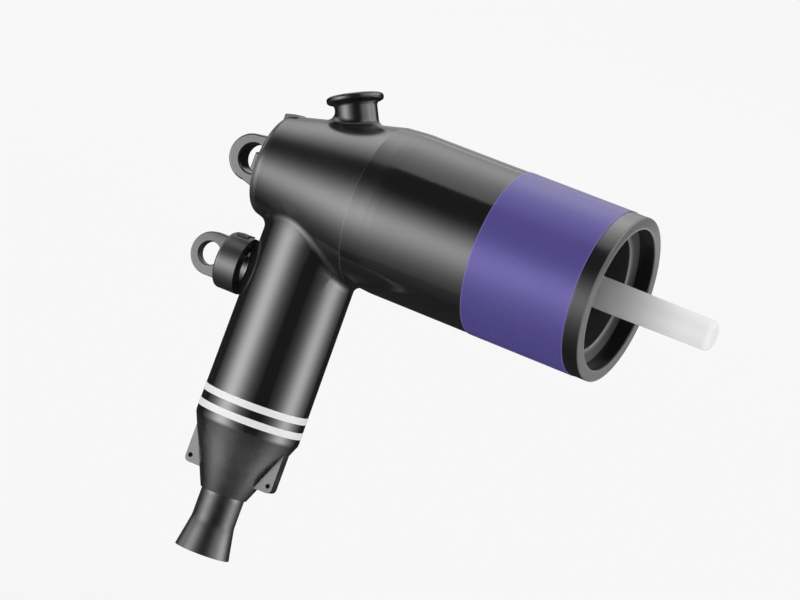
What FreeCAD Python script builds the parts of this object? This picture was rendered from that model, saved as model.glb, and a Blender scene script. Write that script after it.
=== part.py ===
import FreeCAD, Part
import math
import os

# A separable load-break elbow connector for a 200 A, 35 kV cable: a moulded rubber elbow with a
# cuffed mouth for the bushing, a cable leg, a pulling eye, a capped voltage test point, two
# earthing tabs and the contact probe that stands out of the mouth.
# Millimetres. The solids are drawn about the crossing of the arm's axis (X) and the leg's axis (Z),
# and moved at the end so that the origin is the middle of the mouth's rim: +X out of the mouth,
# the cable leg down along -Z. A "reach" is measured from the leg's axis, a "depth" down the leg
# from the arm's axis.

Vector = FreeCAD.Vector
ORIGIN = Vector(0, 0, 0)
AXIS_X = Vector(1, 0, 0)
AXIS_Y = Vector(0, 1, 0)
AXIS_Z = Vector(0, 0, 1)

# Arm, outside
REACH = 161.0                 # leg axis to the mouth's rim
CUFF_RADIUS = 43.0            # at the rim
RIM_EDGE_ROUND = 0.7
SHOULDER_REACH = 38.0         # where the straight arm begins
SHOULDER_DROP = 0.8           # how much slimmer the arm is there than at the rim
SHOULDER_ROUND = 60.0
HEEL_FRONT_DROP = 1.9         # how much slimmer it is where the tapered heel begins
BACK_REACH = 35.8             # leg axis to the flat back face
BACK_RADIUS = 25.35
BACK_EDGE_ROUND = 4.5

# Leg, outside
LEG_TOP_RADIUS = 26.2         # at the arm axis
SEAM_INSET = 0.4              # leg's front to the seam line where the tapered heel begins
LEG_WIDENING = 0.9            # from there to the foot
LEG_FOOT_DEPTH = 127.5
LEG_FOOT_ROUND = 5.0
CROTCH_ROUND = 5.5            # fillet where the leg leaves the arm
FUNNEL_LENGTH = 35.0
NECK_RADIUS = 11.2
NECK_STEP = 0.9               # ledge between the funnel and the neck
NECK_LENGTH = 15.0
FLARE_LENGTH = 16.3
FLARE_RADIUS = 14.2
FLARE_ROUND = 16.0

HEEL_FRONT_REACH = LEG_TOP_RADIUS - SEAM_INSET
LEG_FOOT_RADIUS = LEG_TOP_RADIUS + LEG_WIDENING
NECK_DEPTH = LEG_FOOT_DEPTH + FUNNEL_LENGTH
FUNNEL_END_RADIUS = NECK_RADIUS + NECK_STEP
FLARE_DEPTH = NECK_DEPTH + NECK_LENGTH
LEG_LENGTH = FLARE_DEPTH + FLARE_LENGTH

# Rubber layers
CUFF_WALL = 6.0               # conductive jacket on the arm
HEEL_WALL = 5.7               # and behind the leg
LEG_WALL = 3.8
FUNNEL_WALL = 3.6
INSULATION_INSET = 8.7        # mouth's rim to the front edge of the insulation
FRONT_BEVEL = 1.9
FRONT_EDGE_ROUND = 0.8        # inner edge of the bevel
INSULATION_IN_FUNNEL = 21.5   # how far the insulation goes down inside the funnel

FRONT_REACH = REACH - INSULATION_INSET
INSULATION_DEPTH = LEG_FOOT_DEPTH + INSULATION_IN_FUNNEL

# Seat for the bushing
SEAT_MOUTH_RADIUS = 30.3
SEAT_INNER_REACH = 50.0       # where the seat's long taper ends
SEAT_INNER_RADIUS = 22.6
NOSE_LENGTH = 28.0            # from there to the face that the bushing's nose meets
NOSE_TAPER = 2.2
GROOVE_SETBACK = 12.0         # end of the long taper to the latching groove's far edge
GROOVE_WIDTH = 5.0
GROOVE_FLOOR = 0.4            # how much wider the groove is than the long taper's inner end

NOSE_STOP_REACH = SEAT_INNER_REACH - NOSE_LENGTH
NOSE_STOP_RADIUS = SEAT_INNER_RADIUS - NOSE_TAPER
GROOVE_REACH = SEAT_INNER_REACH - GROOVE_SETBACK

# Contacts
FIT_CLEARANCE = 0.3           # metal in rubber
THREAD_CLEARANCE = 0.1
LUG_RADIUS = 12.5
LUG_THICKNESS = 14.0
BARREL_RADIUS = 10.5
SHANK_LENGTH = 13.7           # the lug's round shank, down to its weld with the barrel
BARREL_LENGTH = 68.0
BARREL_CHAMFER = 1.5
CONDUCTOR_RADIUS = 6.6
CONDUCTOR_DEPTH = 60.0
STUD_RADIUS = 5.0
STUD_LENGTH = 12.0
PROBE_RADIUS = 8.2
PROBE_COLLAR_RADIUS = 10.0
PROBE_COLLAR_LENGTH = 5.0
PROBE_COLLAR_ROUND = 0.6
PROBE_NECK_WAIST = 1.4        # how much slimmer the neck is than the probe
PROBE_NECK_LENGTH = 9.0
PROBE_ROUND = 1.0
WRENCH_HOLE_RADIUS = 1.9
FOLLOWER_START = 49.0         # mouth's rim back to the joint of probe and arc follower
FOLLOWER_STAND_OUT = 52.0     # past the mouth's rim
FOLLOWER_TIP_TAPER = 0.3
FOLLOWER_TIP_ROUND = 3.0
SPIGOT_WALL = 2.6             # wall of the probe round the follower's spigot
SPIGOT_LENGTH = 12.0
PIN_RADIUS = 2.4
PIN_LENGTH = 62.0
PIN_IN_PROBE = 20.0

SHANK_TOP_DEPTH = PROBE_COLLAR_RADIUS + FIT_CLEARANCE
BARREL_TOP_DEPTH = SHANK_TOP_DEPTH + SHANK_LENGTH
BARREL_END_DEPTH = BARREL_TOP_DEPTH + BARREL_LENGTH
FOLLOWER_REACH = REACH - FOLLOWER_START
SPIGOT_RADIUS = PROBE_RADIUS - SPIGOT_WALL
PROBE_NECK_RADIUS = PROBE_RADIUS - PROBE_NECK_WAIST

# Conductive insert round the contacts
INSERT_LIP = 12.0             # how far its thin lip runs out along the seat's taper
INSERT_WALL = 3.4             # round the bushing's nose
INSERT_STOP_WALL = 8.0        # behind the nose stop
INSERT_BACK_WALL = 9.0
INSERT_LUG_WALL = 3.7
INSERT_BARREL_WALL = 3.8
INSERT_BELOW_BARREL = 4.0
INSERT_ROUND = 4.0

LUG_ROOM = LUG_THICKNESS / 2 + FIT_CLEARANCE
LUG_BORE_RADIUS = LUG_RADIUS + FIT_CLEARANCE
BARREL_BORE_RADIUS = BARREL_RADIUS + FIT_CLEARANCE
INSERT_LIP_REACH = SEAT_INNER_REACH + INSERT_LIP
INSERT_FRONT_RADIUS = SEAT_INNER_RADIUS + INSERT_WALL
INSERT_NECK_REACH = NOSE_STOP_REACH - INSERT_STOP_WALL
INSERT_BACK_RADIUS = LUG_BORE_RADIUS + INSERT_LUG_WALL
INSERT_LEG_RADIUS = BARREL_BORE_RADIUS + INSERT_BARREL_WALL
INSERT_LEG_DEPTH = BARREL_END_DEPTH + INSERT_BELOW_BARREL

# Cable's way in
CABLE_BORE_STEP = 0.8         # how much wider the cable's bore is than the barrel's
ENTRY_BORE_RADIUS = 8.5
ENTRY_LEAD = 6.0              # length of the flared lead-in at the cable entry
ENTRY_WALL = 2.4              # rubber left round the lead-in

CABLE_BORE_RADIUS = BARREL_BORE_RADIUS + CABLE_BORE_STEP

# Coloured marks
BAND_START = 9.0              # from the mouth's rim
BAND_WIDTH = 57.0
BAND_THICKNESS = 1.2
BAND_PROUD = 0.25
MARK_ABOVE_FOOT = 15.0        # leg's foot to the top edge of the upper white ring
MARK_PITCH = 7.8
MARK_WIDTH = 3.6
MARK_THICKNESS = 0.8
MARK_PROUD = 0.15

# Pulling eye
EYE_STAND_OUT = 9.4           # back face to the middle of the eye's round end
EYE_RADIUS = 12.1
EYE_THICKNESS = 13.0
EYE_HOLE_RADIUS = 7.5
EYE_HOLE_STAND_OUT = 8.2
EYE_DROP = 0.6                # the eye's middle lies a little below the arm axis
EYE_ROOT_UP = 13.4
EYE_ROOT_DOWN = 16.4
EYE_EDGE_ROUND = 0.9
HEEL_BOSS_STAND_OUT = 8.4     # block in the eye's root
HEEL_BOSS_UP = 3.0
HEEL_BOSS_DOWN = 7.0
HEEL_BOSS_WIDTH = 12.0
HEEL_BOSS_ROUND = 1.0
STRAP_WIDTH = 8.0
STRAP_THICKNESS = 1.8
STRAP_COVER = 0.8             # rubber between the strap and the eye's hole
ANCHOR_RADIUS = 15.0
ANCHOR_THICKNESS = 1.8
ANCHOR_COVER = 2.0            # rubber between the anchor disc and the back face
PAD_WIDTH = 12.0              # small pad on the top of the back edge
PAD_LENGTH = 5.0              # along the heel's top, to the slope at its front end
PAD_SLOPE = 3.0               # how far that slope runs on
PAD_PROUD = 0.8
PAD_BEHIND = 0.3              # past the back face
PAD_ABOVE_EYE = 2.0           # lower end of the pad over the eye's root
PAD_ROUND = 0.8

EYE_REACH = BACK_REACH + EYE_STAND_OUT
EYE_HOLE_REACH = BACK_REACH + EYE_HOLE_STAND_OUT

# Flanged stub on the heel's top
STUB_REACH = -0.5             # where its axis leaves the arm's surface
STUB_LEAN = 13.7              # degrees back from square to the heel's side
STUB_RADIUS = 10.7
STUB_HEIGHT = 13.8
STUB_FLANGE_LEDGE = 3.7
STUB_FLANGE_THICKNESS = 3.6
STUB_FLANGE_ROUND = 1.6
STUB_NECK_ROUND = 2.4
STUB_FOOT_ROUND = 4.0

# Earthing tabs on the funnel
TAB_INSET = 2.3               # leg's outside to the tab's outer edge
TAB_BELOW_FOOT = 1.5
TAB_LENGTH = 25.0
TAB_THICKNESS = 7.0
TAB_CORNER = 2.6
TAB_HOLE_RADIUS = 1.25
TAB_HOLE_FROM_SIDE = 2.5
TAB_HOLE_FROM_END = 3.6

TAB_REACH = LEG_FOOT_RADIUS - TAB_INSET
TAB_TOP_DEPTH = LEG_FOOT_DEPTH + TAB_BELOW_FOOT
TAB_END_DEPTH = TAB_TOP_DEPTH + TAB_LENGTH

# Voltage test point and its cap
TEST_DEPTH = 53.0             # arm axis to the test point's axis
COLLAR_RADIUS = 10.6
COLLAR_STAND_OUT = 6.4        # leg's outside to the collar's face
COLLAR_FOOT_GAP = 0.8         # fillet at the collar's foot to the cap's rim
TEST_BOSS_RADIUS = 7.4
TEST_BOSS_PROUD = 4.0         # past the collar's face
TEST_BEAD_PROUD = 0.7
TEST_BEAD_LENGTH = 2.0
ELECTRODE_RADIUS = 2.6
ELECTRODE_DISC_RADIUS = 7.0
ELECTRODE_DISC_THICKNESS = 2.0
ELECTRODE_DISC_GAP = 3.0      # insulation between the insert and the disc
ELECTRODE_STAND_OUT = 1.0
CAP_WALL = 3.7                # at its rim and its end
CAP_OVERLAP = 3.1             # how far it covers the collar
CAP_EDGE_ROUND = 1.8
CAP_LIP_WIDTH = 9.0
CAP_LIP_INSET = 2.8           # from the cap's rim and end
CAP_LIP_PROUD = 0.5
CAP_LIP_ROUND = 0.3
LOOP_STAND_OUT = 7.2          # cap's end to the middle of its round pull loop
LOOP_ROOT = 2.8               # how deep the loop is set in the cap's end wall
LOOP_RADIUS = 11.1
LOOP_HOLE_RADIUS = 5.9
LOOP_HOLE_SHIFT = 0.8         # the hole lies further out than the loop's middle
LOOP_THICKNESS = 6.4
LOOP_EDGE_ROUND = 0.6

COLLAR_FOOT_ROUND = COLLAR_STAND_OUT - CAP_OVERLAP - COLLAR_FOOT_GAP


def on_line(along, start, end):
    """The radius at a place along the straight outline between two (place, radius) points."""
    share = (along - start[0]) / (end[0] - start[0])
    return start[1] + share * (end[1] - start[1])


def rounded_wire(corners):
    """A closed wire through (point, rounding) corners, each corner rounded by a tangent arc."""
    edges = []
    ends = []
    for number, (point, rounding) in enumerate(corners):
        before = corners[number - 1][0]
        after = corners[(number + 1) % len(corners)][0]
        to_before = (before - point).normalize()
        to_after = (after - point).normalize()
        if rounding <= 0:
            ends.append((point, point, None))
            continue
        half_angle = to_before.getAngle(to_after) / 2
        tangent = rounding / math.tan(half_angle)
        bisector = (to_before + to_after).normalize()
        middle = point + bisector * (rounding / math.sin(half_angle) - rounding)
        ends.append((point + to_before * tangent, point + to_after * tangent, middle))
    for number, (arrive, leave, middle) in enumerate(ends):
        if middle is not None:
            edges.append(Part.Arc(arrive, middle, leave).toShape())
        target = ends[(number + 1) % len(ends)][0]
        if leave.distanceToPoint(target) > 1e-6:
            edges.append(Part.makeLine(leave, target))
    return Part.Wire(edges)


def revolved(outline, axis):
    """A solid of revolution from (place along the axis, radius, rounding) corners.

    The surfaces' seams lie below the arm's axis and behind the leg's, away from the stub.
    """
    if axis == AXIS_X:
        corners = [(Vector(along, 0, -radius), rounding) for along, radius, rounding in outline]
    else:
        corners = [(Vector(-radius, 0, along), rounding) for along, radius, rounding in outline]
    return Part.Face(rounded_wire(corners)).revolve(ORIGIN, axis, 360)


def cylinder(radius, start, direction, length):
    return Part.makeCylinder(radius, length, start, direction)


def cross_cylinder(radius, x, z, length):
    """A cylinder along Y, centred on the XZ plane."""
    return cylinder(radius, Vector(x, -length / 2, z), AXIS_Y, length)


def centred_box(x_range, width, z_range):
    """A box centred on the XZ plane, from its lowest and highest x and z."""
    return Part.makeBox(x_range[1] - x_range[0], width, z_range[1] - z_range[0],
                        Vector(x_range[0], -width / 2, z_range[0]))


def plate(corners, thickness):
    """A flat plate in the XZ plane, centred on it, from ((x, z), rounding) corners."""
    points = [(Vector(x, -thickness / 2, z), rounding) for (x, z), rounding in corners]
    return Part.Face(rounded_wire(points)).extrude(AXIS_Y * thickness)


def as_solid(shape):
    """The single solid of a cleaned shape."""
    return shape.removeSplitter().Solids[0]


def middle_of(edge):
    first, last = edge.ParameterRange
    return edge.valueAt((first + last) / 2)


def loop_plate(root, reach, radius, hole_reach, hole_radius, thickness, root_z, drop, edge_round):
    """A thick flat loop that points to -X: a plate from its root with a round end and a hole.

    root_z holds the lowest and highest z of the plate at its root.
    """
    loop = plate([
        ((root, root_z[1]), 0),
        ((-reach, radius - drop), 0),
        ((-reach, -radius - drop), 0),
        ((root, root_z[0]), 0)], thickness)
    loop = loop.fuse(cross_cylinder(radius, -reach, -drop, thickness))
    loop = loop.cut(cross_cylinder(hole_radius, -hole_reach, -drop, thickness)).removeSplitter()
    rims = []
    for edge in loop.Edges:
        middle = middle_of(edge)
        if abs(abs(middle.y) - thickness / 2) < 0.01 and middle.x < root - 0.01:
            rims.append(edge)
    return loop.makeFillet(edge_round, rims)


def shoulder_radius():
    return CUFF_RADIUS - SHOULDER_DROP


def heel_front_radius():
    return CUFF_RADIUS - HEEL_FRONT_DROP


def arm_radius(along):
    """Outside radius of the straight arm."""
    return on_line(along, (SHOULDER_REACH, shoulder_radius()), (REACH, CUFF_RADIUS))


def heel_radius(along):
    """Outside radius of the tapered heel behind the straight arm."""
    return on_line(along, (-BACK_REACH, BACK_RADIUS), (HEEL_FRONT_REACH, heel_front_radius()))


def heel_slope():
    """Angle in degrees between the heel's side and the arm's axis."""
    return math.degrees(math.atan2(heel_front_radius() - BACK_RADIUS, HEEL_FRONT_REACH + BACK_REACH))


def leg_radius(depth):
    """Outside radius of the straight leg."""
    return on_line(depth, (0, LEG_TOP_RADIUS), (LEG_FOOT_DEPTH, LEG_FOOT_RADIUS))


def funnel_radius(depth):
    """Outside radius of the funnel under the leg."""
    return on_line(depth, (LEG_FOOT_DEPTH, LEG_FOOT_RADIUS), (NECK_DEPTH, FUNNEL_END_RADIUS))


def seat_radius(along):
    """Radius of the tapered seat that the bushing fills."""
    return on_line(along, (SEAT_INNER_REACH, SEAT_INNER_RADIUS),
                   (FRONT_REACH - FRONT_BEVEL, SEAT_MOUTH_RADIUS))


def nose_radius(along):
    """Radius of the seat behind the long taper, down to the nose stop."""
    return on_line(along, (NOSE_STOP_REACH, NOSE_STOP_RADIUS), (SEAT_INNER_REACH, SEAT_INNER_RADIUS))


def collar_reach():
    """Leg axis to the face of the jacket's collar round the test point."""
    return leg_radius(TEST_DEPTH) + COLLAR_STAND_OUT


def test_boss_reach():
    return collar_reach() + TEST_BOSS_PROUD


def mark_depth(number):
    """Arm axis to the top edge of a white ring, counted from 0 at the upper one."""
    return LEG_FOOT_DEPTH - MARK_ABOVE_FOOT + number * MARK_PITCH


def arm_outside():
    return revolved([
        (-BACK_REACH, 0, 0),
        (-BACK_REACH, BACK_RADIUS, BACK_EDGE_ROUND),
        (HEEL_FRONT_REACH, heel_front_radius(), 0),
        (SHOULDER_REACH, shoulder_radius(), SHOULDER_ROUND),
        (REACH, CUFF_RADIUS, RIM_EDGE_ROUND),
        (REACH, 0, 0)], AXIS_X)


def leg_outside():
    return revolved([
        (0, 0, 0),
        (0, LEG_TOP_RADIUS, 0),
        (-LEG_FOOT_DEPTH, LEG_FOOT_RADIUS, LEG_FOOT_ROUND),
        (-NECK_DEPTH, FUNNEL_END_RADIUS, 0),
        (-NECK_DEPTH, NECK_RADIUS, 0),
        (-FLARE_DEPTH, NECK_RADIUS, FLARE_ROUND),
        (-LEG_LENGTH, FLARE_RADIUS, 0),
        (-LEG_LENGTH, 0, 0)], AXIS_Z)


def test_boss():
    """The insulation's round boss at the test point, with a bead that holds the cap."""
    reach = test_boss_reach()
    boss = cylinder(TEST_BOSS_RADIUS, Vector(0, 0, -TEST_DEPTH), -AXIS_X, reach)
    bead = cylinder(TEST_BOSS_RADIUS + TEST_BEAD_PROUD,
                    Vector(-reach + TEST_BEAD_LENGTH, 0, -TEST_DEPTH), -AXIS_X, TEST_BEAD_LENGTH)
    return boss.fuse(bead)


def insulation_outside():
    """The insulation's outer form, which is the jacket's inner form: arm, leg and test point boss."""
    heel_end = -BACK_REACH + HEEL_WALL
    arm = revolved([
        (heel_end, 0, 0),
        (heel_end, heel_radius(heel_end) - HEEL_WALL, BACK_EDGE_ROUND),
        (HEEL_FRONT_REACH, heel_front_radius() - CUFF_WALL, 0),
        (FRONT_REACH, CUFF_RADIUS - CUFF_WALL, 0),
        (FRONT_REACH, 0, 0)], AXIS_X)
    leg = revolved([
        (0, 0, 0),
        (0, LEG_TOP_RADIUS - LEG_WALL, 0),
        (-LEG_FOOT_DEPTH, LEG_FOOT_RADIUS - LEG_WALL, 0),
        (-INSULATION_DEPTH, funnel_radius(INSULATION_DEPTH) - FUNNEL_WALL, 0),
        (-INSULATION_DEPTH, 0, 0)], AXIS_Z)
    return arm.fuse([leg, test_boss()]).removeSplitter()


def insert_outside():
    """Outer form of the conductive insert: a bell towards the mouth and a sleeve down the leg."""
    back = -LUG_ROOM - INSERT_BACK_WALL
    cone_start = INSERT_NECK_REACH - INSERT_FRONT_RADIUS + INSERT_BACK_RADIUS
    bell = revolved([
        (back, 0, 0),
        (back, INSERT_BACK_RADIUS, INSERT_ROUND),
        (cone_start, INSERT_BACK_RADIUS, INSERT_ROUND),
        (INSERT_NECK_REACH, INSERT_FRONT_RADIUS, INSERT_ROUND),
        (SEAT_INNER_REACH, INSERT_FRONT_RADIUS, 0),
        (INSERT_LIP_REACH, seat_radius(INSERT_LIP_REACH), 0),
        (INSERT_LIP_REACH, 0, 0)], AXIS_X)
    sleeve = revolved([
        (0, 0, 0),
        (0, INSERT_LEG_RADIUS, 0),
        (-INSERT_LEG_DEPTH + INSERT_ROUND, INSERT_LEG_RADIUS, INSERT_ROUND / 2),
        (-INSERT_LEG_DEPTH, CABLE_BORE_RADIUS, 0),
        (-INSERT_LEG_DEPTH, 0, 0)], AXIS_Z)
    return bell.fuse(sleeve).removeSplitter()


def contact_chamber():
    """The space in the insert: seat for the bushing's nose, chamber for the lug, bore for the barrel."""
    groove_end = GROOVE_REACH + GROOVE_WIDTH
    groove_radius = SEAT_INNER_RADIUS + GROOVE_FLOOR
    along_arm = revolved([
        (-LUG_ROOM, 0, 0),
        (-LUG_ROOM, LUG_BORE_RADIUS, 0),
        (NOSE_STOP_REACH, LUG_BORE_RADIUS, 0),
        (NOSE_STOP_REACH, NOSE_STOP_RADIUS, 0),
        (GROOVE_REACH, nose_radius(GROOVE_REACH), 0),
        (GROOVE_REACH, groove_radius, 0),
        (groove_end, groove_radius, 0),
        (groove_end, nose_radius(groove_end), 0),
        (SEAT_INNER_REACH, SEAT_INNER_RADIUS, 0),
        (INSERT_LIP_REACH, seat_radius(INSERT_LIP_REACH), 0),
        (INSERT_LIP_REACH, 0, 0)], AXIS_X)
    down_leg = cylinder(BARREL_BORE_RADIUS, ORIGIN, -AXIS_Z, INSERT_LEG_DEPTH)
    return along_arm.fuse(down_leg)


def cable_passage():
    """The bore for the cable, from the insert's lower end out through the neck."""
    narrow_depth = NECK_DEPTH - (CABLE_BORE_RADIUS - ENTRY_BORE_RADIUS)
    return revolved([
        (-INSERT_LEG_DEPTH, 0, 0),
        (-INSERT_LEG_DEPTH, CABLE_BORE_RADIUS, 0),
        (-INSULATION_DEPTH, CABLE_BORE_RADIUS, 0),
        (-narrow_depth, ENTRY_BORE_RADIUS, 0),
        (-LEG_LENGTH + ENTRY_LEAD, ENTRY_BORE_RADIUS, 0),
        (-LEG_LENGTH, FLARE_RADIUS - ENTRY_WALL, 0),
        (-LEG_LENGTH, 0, 0)], AXIS_Z)


def bushing_seat():
    """The tapered space that the bushing fills, with the bevel at the insulation's front edge."""
    return revolved([
        (INSERT_LIP_REACH, 0, 0),
        (INSERT_LIP_REACH, seat_radius(INSERT_LIP_REACH), 0),
        (FRONT_REACH - FRONT_BEVEL, SEAT_MOUTH_RADIUS, FRONT_EDGE_ROUND),
        (FRONT_REACH, CUFF_RADIUS - CUFF_WALL, 0),
        (FRONT_REACH, 0, 0)], AXIS_X)


def stub_axis():
    """The point where the stub's axis leaves the heel's top, and the direction it points in."""
    lean = math.radians(heel_slope() + STUB_LEAN)
    return Vector(STUB_REACH, 0, heel_radius(STUB_REACH)), Vector(-math.sin(lean), 0, math.cos(lean))


def stub():
    """The flanged stub on the heel's top, drawn upright and then leaned back and moved there."""
    sunk = STUB_RADIUS + STUB_FOOT_ROUND
    flange_radius = STUB_RADIUS + STUB_FLANGE_LEDGE
    shape = revolved([
        (-sunk, 0, 0),
        (-sunk, STUB_RADIUS, 0),
        (STUB_HEIGHT - STUB_FLANGE_THICKNESS, STUB_RADIUS, STUB_NECK_ROUND),
        (STUB_HEIGHT - STUB_FLANGE_THICKNESS, flange_radius, STUB_FLANGE_ROUND),
        (STUB_HEIGHT, flange_radius, STUB_FLANGE_ROUND),
        (STUB_HEIGHT, 0, 0)], AXIS_Z)
    shape.rotate(ORIGIN, AXIS_Y, -heel_slope() - STUB_LEAN)
    shape.translate(stub_axis()[0])
    return shape


def pulling_eye():
    """The pulling eye, which widens into the back face, and the block in its root."""
    root = -BACK_REACH + HEEL_WALL / 2
    loop = loop_plate(root, EYE_REACH, EYE_RADIUS, EYE_HOLE_REACH, EYE_HOLE_RADIUS, EYE_THICKNESS,
                      (-EYE_ROOT_DOWN, EYE_ROOT_UP), EYE_DROP, EYE_EDGE_ROUND)
    block_face = -BACK_REACH - HEEL_BOSS_STAND_OUT
    block = centred_box((block_face, root), HEEL_BOSS_WIDTH, (-HEEL_BOSS_DOWN, HEEL_BOSS_UP))
    rims = [edge for edge in block.Edges if middle_of(edge).x < root - 0.01]
    return loop.fuse(block.makeFillet(HEEL_BOSS_ROUND, rims))


def eye_strap():
    """The steel reinforcement moulded into the eye: a strap round the hole and an anchor disc."""
    inner = EYE_HOLE_RADIUS + STRAP_COVER
    outer = inner + STRAP_THICKNESS
    disc_face = -BACK_REACH + ANCHOR_COVER
    ring = cross_cylinder(outer, -EYE_HOLE_REACH, -EYE_DROP, STRAP_WIDTH)
    ring = ring.cut(cross_cylinder(inner, -EYE_HOLE_REACH, -EYE_DROP, STRAP_WIDTH))
    open_side = centred_box((-EYE_HOLE_REACH, outer - EYE_HOLE_REACH), STRAP_WIDTH,
                            (-EYE_DROP - outer, -EYE_DROP + outer))
    pieces = [ring.cut(open_side)]
    for low, high in ((inner, outer), (-outer, -inner)):
        pieces.append(centred_box((-EYE_HOLE_REACH, disc_face), STRAP_WIDTH,
                                  (low - EYE_DROP, high - EYE_DROP)))
    pieces.append(cylinder(ANCHOR_RADIUS, Vector(disc_face, 0, -EYE_DROP), AXIS_X, ANCHOR_THICKNESS))
    return as_solid(pieces[0].fuse(pieces[1:]))


def heel_pad():
    """The small pad on the top of the back edge, which it fills out flush with the back face."""
    root = -BACK_REACH + HEEL_WALL / 2
    back = -BACK_REACH - PAD_BEHIND
    front = -BACK_REACH + PAD_LENGTH
    foot = front + PAD_SLOPE
    return plate([
        ((back, heel_radius(back) + PAD_PROUD), PAD_ROUND),
        ((front, heel_radius(front) + PAD_PROUD), PAD_ROUND),
        ((foot, heel_radius(foot) - PAD_PROUD), 0),
        ((root, EYE_ROOT_UP + PAD_ABOVE_EYE), 0),
        ((back, EYE_ROOT_UP + PAD_ABOVE_EYE), 0)], PAD_WIDTH)


def earthing_tab(side):
    """One triangular tab on the funnel, with its wire hole; side is 1 or -1 along X."""
    inner = side * CABLE_BORE_RADIUS
    outer = side * TAB_REACH
    tab = plate([
        ((inner, -TAB_TOP_DEPTH), 0),
        ((outer, -TAB_TOP_DEPTH), 0),
        ((outer, -TAB_END_DEPTH), TAB_CORNER),
        ((inner, -TAB_END_DEPTH), 0)], TAB_THICKNESS)
    hole = cross_cylinder(TAB_HOLE_RADIUS, side * (TAB_REACH - TAB_HOLE_FROM_SIDE),
                          -TAB_END_DEPTH + TAB_HOLE_FROM_END, TAB_THICKNESS)
    return tab.cut(hole)


def crotch_edges(shape):
    """The edges where the leg's straight side leaves the arm."""
    found = []
    for edge in shape.Edges:
        point = middle_of(edge)
        off_axis = math.hypot(point.y, point.z)
        off_leg = abs(math.hypot(point.x, point.y) - leg_radius(-point.z))
        off_arm = min(abs(off_axis - heel_radius(point.x)), abs(off_axis - arm_radius(point.x)))
        if off_leg < 0.05 and off_arm < 0.6 and point.z < 0:
            found.append(edge)
    return found


def foot_edges(shape, foot, direction, radius, reach):
    """The edges round a stem of this radius that lie within a reach of its foot, along the stem."""
    found = []
    for edge in shape.Edges:
        offset = middle_of(edge) - foot
        height = offset.dot(direction)
        off_stem = abs((offset - direction * height).Length - radius)
        if off_stem < 0.05 and abs(height) < reach and edge.Length > 1:
            found.append(edge)
    return found


def outer_shield(inside, strap):
    """The moulded conductive jacket with everything moulded onto it."""
    body = arm_outside().fuse(leg_outside())
    body = body.makeFillet(CROTCH_ROUND, crotch_edges(body))
    body = body.fuse(stub())
    body = body.makeFillet(STUB_FOOT_ROUND,
                           foot_edges(body, *stub_axis(), STUB_RADIUS, STUB_HEIGHT / 2))
    body = body.fuse(cylinder(COLLAR_RADIUS, Vector(0, 0, -TEST_DEPTH), -AXIS_X, collar_reach()))
    collar_foot = Vector(-leg_radius(TEST_DEPTH), 0, -TEST_DEPTH)
    body = body.makeFillet(COLLAR_FOOT_ROUND,
                           foot_edges(body, collar_foot, -AXIS_X, COLLAR_RADIUS, COLLAR_STAND_OUT / 2))
    body = body.fuse([pulling_eye(), heel_pad(), earthing_tab(1), earthing_tab(-1)])
    mouth = cylinder(CUFF_RADIUS - CUFF_WALL, Vector(FRONT_REACH, 0, 0), AXIS_X, INSULATION_INSET)
    removed = [inside, mouth, cable_passage(), voltage_band(), leg_mark(0), leg_mark(1), strap]
    for shape in removed:
        body = body.cut(shape)
    return as_solid(body)


def insulation(inside, insert, electrode):
    body = inside
    for shape in (insert, bushing_seat(), cable_passage(), electrode):
        body = body.cut(shape)
    return as_solid(body)


def inner_shield(insert):
    return as_solid(insert.cut(contact_chamber()))


def voltage_band():
    """The coloured band near the mouth, let into the jacket and a little proud of it."""
    start = REACH - BAND_START - BAND_WIDTH
    end = REACH - BAND_START
    return revolved([
        (start, arm_radius(start) - BAND_THICKNESS, 0),
        (start, arm_radius(start) + BAND_PROUD, 0),
        (end, arm_radius(end) + BAND_PROUD, 0),
        (end, arm_radius(end) - BAND_THICKNESS, 0)], AXIS_X)


def leg_mark(number):
    """One white ring let into the leg, counted from 0 at the upper one."""
    start = mark_depth(number)
    end = start + MARK_WIDTH
    return revolved([
        (-start, leg_radius(start) - MARK_THICKNESS, 0),
        (-start, leg_radius(start) + MARK_PROUD, 0),
        (-end, leg_radius(end) + MARK_PROUD, 0),
        (-end, leg_radius(end) - MARK_THICKNESS, 0)], AXIS_Z)


def connector_lug():
    """The copper end of the compression connector, tapped for the probe's stud."""
    half = LUG_THICKNESS / 2
    palm = cylinder(LUG_RADIUS, Vector(-half, 0, 0), AXIS_X, LUG_THICKNESS)
    web = centred_box((-half, half), 2 * BARREL_RADIUS, (-SHANK_TOP_DEPTH, 0))
    web = web.common(cylinder(BARREL_RADIUS, ORIGIN, -AXIS_Z, SHANK_TOP_DEPTH))
    shank = cylinder(BARREL_RADIUS, Vector(0, 0, -SHANK_TOP_DEPTH), -AXIS_Z, SHANK_LENGTH)
    thread = cylinder(STUD_RADIUS + THREAD_CLEARANCE, Vector(-half, 0, 0), AXIS_X, LUG_THICKNESS)
    return as_solid(palm.fuse([web, shank]).cut(thread))


def connector_barrel():
    """The aluminium barrel that is crimped on the cable's conductor."""
    bore_end = -BARREL_END_DEPTH + CONDUCTOR_DEPTH
    return revolved([
        (-BARREL_TOP_DEPTH, 0, 0),
        (-BARREL_TOP_DEPTH, BARREL_RADIUS, 0),
        (-BARREL_END_DEPTH, BARREL_RADIUS, BARREL_CHAMFER),
        (-BARREL_END_DEPTH, CONDUCTOR_RADIUS + BARREL_CHAMFER, 0),
        (-BARREL_END_DEPTH + BARREL_CHAMFER, CONDUCTOR_RADIUS, 0),
        (bore_end, CONDUCTOR_RADIUS, 0),
        (bore_end + CONDUCTOR_RADIUS / 2, 0, 0)], AXIS_Z)


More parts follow.
